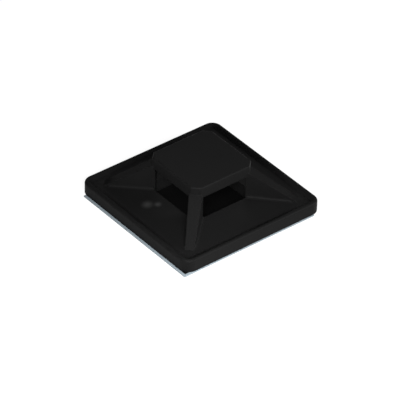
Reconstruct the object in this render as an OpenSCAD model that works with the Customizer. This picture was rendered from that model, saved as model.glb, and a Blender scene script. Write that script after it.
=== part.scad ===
// Four-way self-adhesive cable tie mount.
// A low square base carries a square bridge on four diagonal legs. A tie passes under the
// bridge either way, through the window between each two legs.
// Millimetres, +Z up. The origin is under the middle of the base, at the liner's underside.

/* [Base] */

// side of the square base
base_side = 28; // [26:0.5:40]
// radius of the base's corners, seen from above
base_corner_r = 1.8; // [1.6:0.1:2.4]
// height of the base's bead above its underside
bead_h = 2.24; // [2.1:0.02:2.8]
// rounding of the base's outer top edge
bead_edge_r = 0.45; // [0.3:0.05:0.6]
// width of the bead, from the side wall to the panel
bead_w = 1.4; // [1.2:0.05:1.5]
// height of a panel where it leaves the bead
panel_low_h = 1.77; // [1.5:0.01:1.9]
// height of a panel at the window's sill
sill_h = 2.3; // [2:0.02:2.6]

/* [Bridge] */

// side of the square bridge
bridge_side = 12.4; // [11.4:0.1:14]
// thickness of the bridge
bridge_t = 2.03; // [1.6:0.01:3]
// height of a window, from its sill to the bridge's underside
window_h = 4.08; // [4.06:0.02:6]
// rounding of the bridge's top edges
bridge_edge_r = 0.25; // [0.15:0.05:0.4]
// width of the cut across a corner of the bridge
bridge_cut_w = 1.7; // [1.2:0.1:2]

/* [Legs] */

// width of a leg where it meets the bridge
leg_top_w = 2.3; // [2.1:0.05:2.6]
// width of a leg at its foot
leg_foot_w = 1.5; // [1.2:0.05:1.8]
// depth from the bridge's top down to the leg's ridge
leg_drop = 1.45; // [1.2:0.05:1.7]
// distance from the base's square corner to the foot of a leg, along the diagonal
leg_foot_gap = 4; // [3.5:0.1:4.6]
// length of a leg's inner end under the bridge
leg_tuck = 0.25; // [0.1:0.05:0.6]
// radius of the fillet along each side of a leg
leg_root_r = 0.4; // [0.2:0.05:0.6]

/* [Adhesive pad and liner] */

// thickness of the pad
pad_t = 0.13; // [0.1:0.01:1]
// how far the pad's edge stays inside the liner's
pad_margin = 0.4; // [0.1:0.1:1.5]
// how much narrower than the base the liner is, along X
liner_less_x = 1.4; // [0:0.1:1.5]
// how much narrower than the base the liner is, along Y
liner_less_y = 1.2; // [0:0.1:1.5]
// thickness of the liner
liner_t = 0.22; // [0.1:0.01:0.3]
// how far the pad and its liner sit off centre, along X
liner_shift_x = 0.72; // [0:0.02:0.8]
// how far the pad and its liner sit off centre, along Y, towards the front
liner_shift_y = 0.95; // [0:0.02:1]

/* [Hidden] */

base_half = base_side / 2;
bridge_half = bridge_side / 2;
body_z = pad_t + liner_t;

// a panel is flat from the bead to the sill
panel_half = base_half - bead_w;
panel_slope = (sill_h - panel_low_h) / (panel_half - bridge_half);
// the plate runs on a little under the bead
plate_lap = 0.3;

// the bead's inner slope leaves the rounded edge along its tangent
bead_arc_h = bead_h - bead_edge_r;
bead_run = bead_w - bead_edge_r;
bead_fall = bead_arc_h - panel_low_h;
bead_reach = sqrt(bead_run * bead_run + bead_fall * bead_fall);
bead_lean = acos(bead_edge_r / bead_reach) + atan2(-bead_fall, bead_run);

bridge_low_h = sill_h + window_h;
bridge_top_h = bridge_low_h + bridge_t;
// a corner of the bridge is cut square across the diagonal, inside the leg's width
bridge_cut_d = (bridge_side * sqrt(2) - bridge_cut_w) / 2;

// the leg starts where the bridge is just as wide as the leg; its ridge is straight
leg_top_d = (bridge_side * sqrt(2) - leg_top_w) / 2;
leg_foot_d = base_half * sqrt(2) - leg_foot_gap;
foot_h = sill_h - panel_slope * (leg_foot_d / sqrt(2) - bridge_half);
ridge_high_h = bridge_top_h - leg_drop;
ridge_slope = (ridge_high_h - foot_h) / (leg_foot_d - bridge_cut_d);
leg_length = leg_foot_d - leg_top_d;
leg_taper = atan((leg_top_w - leg_foot_w) / 2 / leg_length);
// the ridge runs on into the panel past the foot
leg_sink = 0.8;
leg_inner_d = leg_top_d - leg_tuck;

// the fillet follows the panel, sunk a little below it, and dies out before the foot
panel_fall = atan(panel_slope / sqrt(2));
root_sink = 0.03;
root_back = 0.6;

// section of the base's edge, from the corner's centre line outwards
module bead_section() {
    inner = base_corner_r - bead_w;
    arc = base_corner_r - bead_edge_r;
    square([base_corner_r, bead_arc_h]);
    translate([arc, bead_arc_h])
        circle(r = bead_edge_r, $fn = 48);
    polygon([
        [0, 0],
        [arc, 0],
        [arc, bead_arc_h],
        [arc - bead_edge_r * cos(bead_lean), bead_arc_h + bead_edge_r * sin(bead_lean)],
        [inner, panel_low_h],
        [0, panel_low_h]
    ]);
}

// the bead all round the base: four straight lengths and four turned corners
module base_bead() {
    length = base_side - 2 * base_corner_r;
    for (turn = [0:90:270])
        rotate([0, 0, turn]) {
            translate([length / 2, length / 2, 0])
                rotate_extrude(angle = 90, $fn = 64)
                    bead_section();
            translate([length / 2, length / 2, 0])
                rotate([90, 0, 0])
                    linear_extrude(height = length)
                        bead_section();
        }
}

// one direction of the plate: level in the middle, falling to both sides
module plate_run() {
    low = panel_low_h - panel_slope * plate_lap;
    rotate([90, 0, 0])
        linear_extrude(height = base_side, center = true)
            polygon([
                [-panel_half - plate_lap, 0],
                [panel_half + plate_lap, 0],
                [panel_half + plate_lap, low],
                [bridge_half, sill_h],
                [-bridge_half, sill_h],
                [-panel_half - plate_lap, low]
            ]);
}

// the plate inside the bead: four panels that meet along the diagonals
module base_plate() {
    intersection() {
        plate_run();
        rotate([0, 0, 90])
            plate_run();
    }
}

// plan of the bridge: a square with its corners cut off
module bridge_plan() {
    intersection() {
        square(bridge_side, center = true);
        rotate(45)
            square(2 * bridge_cut_d, center = true);
    }
}

// bar with rounded top edges, as wide as given, lying along Y
module rounded_bar(half) {
    rotate([90, 0, 0])
        linear_extrude(height = base_side, center = true)
            union() {
                translate([-half, 0])
                    square([2 * half, bridge_t - bridge_edge_r]);
                translate([-half + bridge_edge_r, 0])
                    square([2 * (half - bridge_edge_r), bridge_t]);
                for (side = [-1, 1])
                    translate([side * (half - bridge_edge_r), bridge_t - bridge_edge_r])
                        circle(r = bridge_edge_r, $fn = 48);
            }
}

// the bridge, rounded along every top edge
module bridge() {
    translate([0, 0, bridge_low_h])
        intersection() {
            rounded_bar(bridge_half);
            rotate([0, 0, 90])
                rounded_bar(bridge_half);
            rotate([0, 0, 45])
                rounded_bar(bridge_cut_d);
            rotate([0, 0, -45])
                rounded_bar(bridge_cut_d);
        }
}

// everything below the ridge line of the leg that lies along +X, lowered by drop
module below_ridge(drop) {
    end = leg_foot_d + leg_sink;
    rotate([90, 0, 0])
        linear_extrude(height = bridge_side, center = true)
            polygon([
                [leg_inner_d, 0],
                [end, 0],
                [end, foot_h - ridge_slope * leg_sink - drop],
                [leg_inner_d, ridge_high_h + ridge_slope * (bridge_cut_d - leg_inner_d) - drop]
            ]);
}

// blade of the leg that lies along +X
module leg_blade() {
    end = leg_foot_d + leg_sink;
    inner_half = leg_top_w / 2 + leg_tuck * tan(leg_taper);
    end_half = leg_foot_w / 2 - leg_sink * tan(leg_taper);
    intersection() {
        below_ridge(0);
        linear_extrude(height = bridge_top_h)
            polygon([
                [leg_inner_d, -inner_half],
                [end, -end_half],
                [end, end_half],
                [leg_inner_d, inner_half]
            ]);
    }
}

// fillet along the left side of the leg that lies along +X
module leg_root() {
    intersection() {
        below_ridge(root_back * ridge_slope);
        translate([leg_top_d, leg_top_w / 2, 0])
            rotate([0, 0, -leg_taper])
                translate([0, 0, sill_h - panel_slope * (leg_top_d / sqrt(2) - bridge_half)])
                    rotate([0, panel_fall, 0])
                        rotate([-panel_fall, 0, 0])
                            translate([leg_length + 1, 0, -root_sink])
                                rotate([90, 0, -90])
                                    linear_extrude(height = leg_length + 2.5)
                                        root_section();
    }
}

// section of the fillet: the corner outside a circle that touches leg and panel
module root_section() {
    difference() {
        translate([-leg_root_r, -leg_root_r])
            square(2 * leg_root_r);
        translate([-leg_root_r, leg_root_r])
            circle(r = leg_root_r, $fn = 48);
    }
}

// the moulding, standing on its own underside
module moulding() {
    bridge();
    for (turn = [45:90:315])
        rotate([0, 0, turn])
            leg_blade();
    difference() {
        union() {
            base_bead();
            base_plate();
            for (turn = [45:90:315])
                rotate([0, 0, turn]) {
                    leg_root();
                    mirror([0, 1, 0])
                        leg_root();
                }
        }
        // the core leaves an opening under the whole bridge
        translate([0, 0, -1])
            linear_extrude(height = bridge_low_h + 1)
                bridge_plan();
    }
}

module mount_body() {
    color([0.05, 0.05, 0.055])
        translate([0, 0, body_z])
            moulding();
}

// flat sheet of the liner's outline, pulled in by margin
module sheet(margin, thickness) {
    translate([liner_shift_x, -liner_shift_y, 0])
        linear_extrude(height = thickness)
            square([
                base_side - liner_less_x - 2 * margin,
                base_side - liner_less_y - 2 * margin
            ], center = true);
}

module adhesive_pad() {
    color([0.08, 0.08, 0.08])
        translate([0, 0, liner_t])
            sheet(pad_margin, pad_t);
}

module release_liner() {
    color([0.82, 0.86, 0.88])
        sheet(0, liner_t);
}

mount_body();
adhesive_pad();
release_liner();
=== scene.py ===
import math

import bpy
from mathutils import Matrix, Vector


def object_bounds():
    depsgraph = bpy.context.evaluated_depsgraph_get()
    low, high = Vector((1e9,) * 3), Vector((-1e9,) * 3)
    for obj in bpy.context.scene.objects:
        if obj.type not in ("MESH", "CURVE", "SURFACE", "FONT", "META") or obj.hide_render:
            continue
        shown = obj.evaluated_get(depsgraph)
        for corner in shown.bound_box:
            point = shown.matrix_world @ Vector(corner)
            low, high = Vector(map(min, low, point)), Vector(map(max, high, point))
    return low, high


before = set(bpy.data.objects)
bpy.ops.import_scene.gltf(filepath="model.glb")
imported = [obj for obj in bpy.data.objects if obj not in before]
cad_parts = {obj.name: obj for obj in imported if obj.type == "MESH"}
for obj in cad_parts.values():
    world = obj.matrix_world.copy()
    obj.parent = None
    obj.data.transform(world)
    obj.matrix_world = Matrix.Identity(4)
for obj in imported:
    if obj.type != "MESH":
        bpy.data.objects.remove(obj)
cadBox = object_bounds()
mm = 0.001
print("frame loaded:", ", ".join(sorted(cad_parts)))


def srgb(hexColour):
    # sRGB hex to the linear colour that Blender's sockets take
    parts = [int(hexColour[i:i + 2], 16) / 255 for i in (1, 3, 5)]
    return tuple(p / 12.92 if p <= 0.04045 else ((p + 0.055) / 1.055) ** 2.4 for p in parts) + (1.0,)


def addNode(tree, kind, settings=None, links=None):
    # settings go to the node's own properties, or to its sockets by name or number
    node = tree.nodes.new(kind)
    for name, value in (settings or {}).items():
        if isinstance(name, str) and hasattr(node, name):
            setattr(node, name, value)
        else:
            node.inputs[name].default_value = value
    for name, source in (links or {}).items():
        tree.links.new(source, node.inputs[name])
    return node


def newMaterial(name):
    material = bpy.data.materials.new(name)
    material.use_nodes = True
    material.node_tree.nodes.clear()
    return material, material.node_tree


cameraLook = {
    "azimuth": 50.6,       # degrees round from the front
    "elevation": 37.05,    # degrees above the table
    "roll": 1.5,           # degrees the horizon tips
    "distance": 551.5,     # mm from the aim
    "lens": 305.4,         # mm on a 36 mm sensor
    "aim": (0.0, 0.0, 3.0),        # mm, the point aimed near
    "slide": (-0.137, -2.057),     # mm, right and up, of the aim in the picture's plane
}


def placeCamera(look):
    azimuth, elevation, roll = (math.radians(look[k]) for k in ("azimuth", "elevation", "roll"))
    back = Vector((math.sin(azimuth) * math.cos(elevation), -math.cos(azimuth) * math.cos(elevation),
                   math.sin(elevation)))
    right = Vector((math.cos(azimuth), math.sin(azimuth), 0.0))
    up = back.cross(right)
    turnedRight = right * math.cos(roll) + up * math.sin(roll)
    turnedUp = up * math.cos(roll) - right * math.sin(roll)
    aim = Vector(look["aim"]) + turnedRight * look["slide"][0] + turnedUp * look["slide"][1]
    data = bpy.data.cameras.new("camera")
    data.lens = look["lens"]
    data.sensor_width = 36.0
    data.clip_start = 0.01
    data.clip_end = 20.0
    camera = bpy.data.objects.new("camera", data)
    bpy.context.scene.collection.objects.link(camera)
    turn = Matrix((turnedRight, turnedUp, back)).transposed()
    camera.matrix_world = Matrix.Translation((aim + back * look["distance"]) * mm) @ turn.to_4x4()
    bpy.context.scene.camera = camera


placeCamera(cameraLook)
print("camera placed")

blackNylon = {
    "colour": "#181818",
    "cloud": "#141414",    # the darker patches where the melt cooled first
    "cloudSize": 5.0,      # mm
    "roughness": 0.5,
    "roughnessSpread": 0.06,
    "specular": 0.03,      # kept low, since the white floor shows in the side walls
    "grain": 0.12,         # mm between the pits of the mould's spark texture
    "grainDepth": 0.0012,  # mm
    "edge": 0.14,          # mm, softness of the arrises
    # painted highlight: the lighter colour that is painted into soft spots on the front panel where the
    # light glows
    "paintedGlowColour": "#303030",
    # centre in mm and reach in mm of each soft spot of painted highlight on the front panel, a glow of light
    # painted lighter into the colour
    "paintedGlowSpots": (((-2.2, -9.3, 2.4), 1.3), ((-1.1, -8.0, 2.5), 0.9)),
}


def makeBlackNylon(look):
    # polyamide 6.6, injection moulded in a spark-textured tool: a dull black with broad, soft highlights
    material, tree = newMaterial("blackPolyamideMoulded")
    coords = addNode(tree, "ShaderNodeTexCoord").outputs["Object"]
    cloud = addNode(tree, "ShaderNodeTexNoise", {"Scale": 1 / (look["cloudSize"] * mm), "Detail": 3.0},
                    {"Vector": coords}).outputs["Fac"]
    colour = addNode(tree, "ShaderNodeMix",
                     {"data_type": "RGBA", 6: srgb(look["cloud"]), 7: srgb(look["colour"])},
                     {0: cloud}).outputs[2]
    # painted highlight: within each spot's reach the colour is lightened, standing in for a glow of light on
    # the panel
    for centre, reach in look["paintedGlowSpots"]:
        away = addNode(tree, "ShaderNodeVectorMath",
                       {"operation": "DISTANCE", 1: Vector(centre) * mm}, {0: coords})
        glowMask = addNode(tree, "ShaderNodeMapRange",
                         {"interpolation_type": "SMOOTHSTEP", 1: reach * mm, 2: 0.0, 3: 0.0, 4: 1.0},
                         {0: away.outputs["Value"]})
        colour = addNode(tree, "ShaderNodeMix", {"data_type": "RGBA", 7: srgb(look["paintedGlowColour"])},
                         {0: glowMask.outputs[0], 6: colour}).outputs[2]
    gloss = addNode(tree, "ShaderNodeMapRange", {3: look["roughness"] - look["roughnessSpread"],
                                                 4: look["roughness"] + look["roughnessSpread"]}, {0: cloud})
    grain = addNode(tree, "ShaderNodeTexNoise", {"Scale": 1 / (look["grain"] * mm), "Detail": 2.0},
                    {"Vector": coords})
    edge = addNode(tree, "ShaderNodeBevel", {"samples": 6, "Radius": look["edge"] * mm})
    bump = addNode(tree, "ShaderNodeBump", {"Strength": 1.0, "Distance": look["grainDepth"] * mm},
                   {"Height": grain.outputs["Fac"], "Normal": edge.outputs["Normal"]})
    shader = addNode(tree, "ShaderNodeBsdfPrincipled", {"IOR": 1.53, "Specular IOR Level": look["specular"]},
                     {"Base Color": colour, "Roughness": gloss.outputs[0], "Normal": bump.outputs["Normal"]})
    addNode(tree, "ShaderNodeOutputMaterial", None, {"Surface": shader.outputs["BSDF"]})
    return material


foamPad = {
    "colour": "#050505",
    "roughness": 0.8,
    "specular": 0.1,
    "cell": 0.15,          # mm across a cell of the foam
    "cellDepth": 0.01,     # mm
}


def makeFoam(look):
    # closed-cell polyethylene foam, extruded and coated: flat black with a faint tacky gloss
    material, tree = newMaterial("blackFoamExtruded")
    coords = addNode(tree, "ShaderNodeTexCoord")
    cells = addNode(tree, "ShaderNodeTexVoronoi", {"Scale": 1 / (look["cell"] * mm)},
                    {"Vector": coords.outputs["Object"]})
    bump = addNode(tree, "ShaderNodeBump", {"Strength": 1.0, "Distance": look["cellDepth"] * mm},
                   {"Height": cells.outputs["Distance"]})
    shader = addNode(tree, "ShaderNodeBsdfPrincipled",
                     {"Base Color": srgb(look["colour"]), "IOR": 1.47, "Roughness": look["roughness"],
                      "Specular IOR Level": look["specular"]},
                     {"Normal": bump.outputs["Normal"]})
    addNode(tree, "ShaderNodeOutputMaterial", None, {"Surface": shader.outputs["BSDF"]})
    return material


linerPaper = {
    # painted shade: the paper is white, and these colours are its grey look in the shade of the body's wall
    "colour": "#939EA5",
    "fibre": "#8A959C",
    "fibreSize": 1.2,      # mm, length of a patch of fibres
    "roughness": 0.5,
    "press": 0.004,        # mm, depth left by the calender's rolls
}


def makeLiner(look):
    # bleached glassine, calendered and siliconised: pale, a little cool, with a slight sheen; its white is
    # painted down to a grey, as painted shade
    material, tree = newMaterial("glassineCalendered")
    coords = addNode(tree, "ShaderNodeTexCoord")
    fibres = addNode(tree, "ShaderNodeTexNoise", {"Scale": 1 / (look["fibreSize"] * mm), "Detail": 5.0},
                     {"Vector": coords.outputs["Object"]})
    tint = addNode(tree, "ShaderNodeMix",
                   {"data_type": "RGBA", 6: srgb(look["colour"]), 7: srgb(look["fibre"])},
                   {0: fibres.outputs["Fac"]})
    bump = addNode(tree, "ShaderNodeBump", {"Strength": 1.0, "Distance": look["press"] * mm},
                   {"Height": fibres.outputs["Fac"]})
    shader = addNode(tree, "ShaderNodeBsdfPrincipled", {"IOR": 1.47, "Roughness": look["roughness"]},
                     {"Base Color": tint.outputs[2], "Normal": bump.outputs["Normal"]})
    addNode(tree, "ShaderNodeOutputMaterial", None, {"Surface": shader.outputs["BSDF"]})
    return material


def dress(nodeName, material):
    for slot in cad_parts[nodeName].material_slots:
        slot.material = material


dress("mount_body", makeBlackNylon(blackNylon))
dress("adhesive_pad", makeFoam(foamPad))
dress("release_liner", makeLiner(linerPaper))
print("materials assigned")


studio = {
    "floor": "#898989",
    "floorGlow": 0.9,      # strength of the white that the camera, gloss and glass see
    "floorSize": 1200,     # mm
    "world": 0.03,
}

# each lamp: degrees round from the camera to its right, degrees up, mm away, mm across, and the
# light that it throws square on at the origin, where 1 shows a colour as it is written
lamps = {
    "key": (0, 35, 75, 45, 1.35),
    "right": (90, 18, 400, 200, 0.95),
    "left": (-90, 18, 400, 200, 0.1),
    "back": (180, 20, 400, 200, 0.07),
}


def placeLamp(name, aside, up, away, size, level):
    turn, tilt = math.radians(cameraLook["azimuth"] + aside), math.radians(up)
    place = Vector((math.sin(turn) * math.cos(tilt), -math.cos(turn) * math.cos(tilt),
                    math.sin(tilt))) * away * mm
    data = bpy.data.lights.new(name, "AREA")
    data.shape = "DISK"
    data.size = size * mm
    data.energy = level * (math.pi * away * mm) ** 2
    lamp = bpy.data.objects.new(name, data)
    bpy.context.scene.collection.objects.link(lamp)
    lamp.location = place
    lamp.rotation_euler = (-place).to_track_quat("-Z", "Y").to_euler()
    lamp.visible_camera = False


def makeFloor(look):
    bpy.ops.mesh.primitive_plane_add(size=look["floorSize"] * mm, location=(0, 0, cadBox[0][2]))
    floor = bpy.context.object
    floor.name = "floor"
    # a grey sweep that the camera and every reflection see as white, with the shadow still on it
    material, tree = newMaterial("paperSweep")
    paths = addNode(tree, "ShaderNodeLightPath")
    seen = addNode(tree, "ShaderNodeMath", {"operation": "MAXIMUM"},
                   {0: paths.outputs["Is Camera Ray"], 1: paths.outputs["Is Glossy Ray"]})
    seen = addNode(tree, "ShaderNodeMath", {"operation": "MAXIMUM"},
                   {0: seen.outputs[0], 1: paths.outputs["Is Transmission Ray"]})
    glow = addNode(tree, "ShaderNodeMath", {"operation": "MULTIPLY", 1: look["floorGlow"]},
                   {0: seen.outputs[0]})
    white = addNode(tree, "ShaderNodeEmission", {"Color": (1, 1, 1, 1)}, {"Strength": glow.outputs[0]})
    paper = addNode(tree, "ShaderNodeBsdfDiffuse", {"Color": srgb(look["floor"])})
    both = addNode(tree, "ShaderNodeAddShader", None, {0: white.outputs[0], 1: paper.outputs[0]})
    addNode(tree, "ShaderNodeOutputMaterial", None, {"Surface": both.outputs[0]})
    floor.data.materials.append(material)


def makeWorld(look):
    world = bpy.data.worlds.new("studio")
    world.use_nodes = True
    bpy.context.scene.world = world
    tree = world.node_tree
    tree.nodes.clear()
    background = addNode(tree, "ShaderNodeBackground", {"Color": (1, 1, 1, 1), "Strength": look["world"]})
    addNode(tree, "ShaderNodeOutputWorld", None, {"Surface": background.outputs["Background"]})


makeFloor(studio)
makeWorld(studio)
for lampName, values in lamps.items():
    placeLamp(lampName, *values)
bpy.context.scene.view_settings.view_transform = "Standard"
print("studio lit")
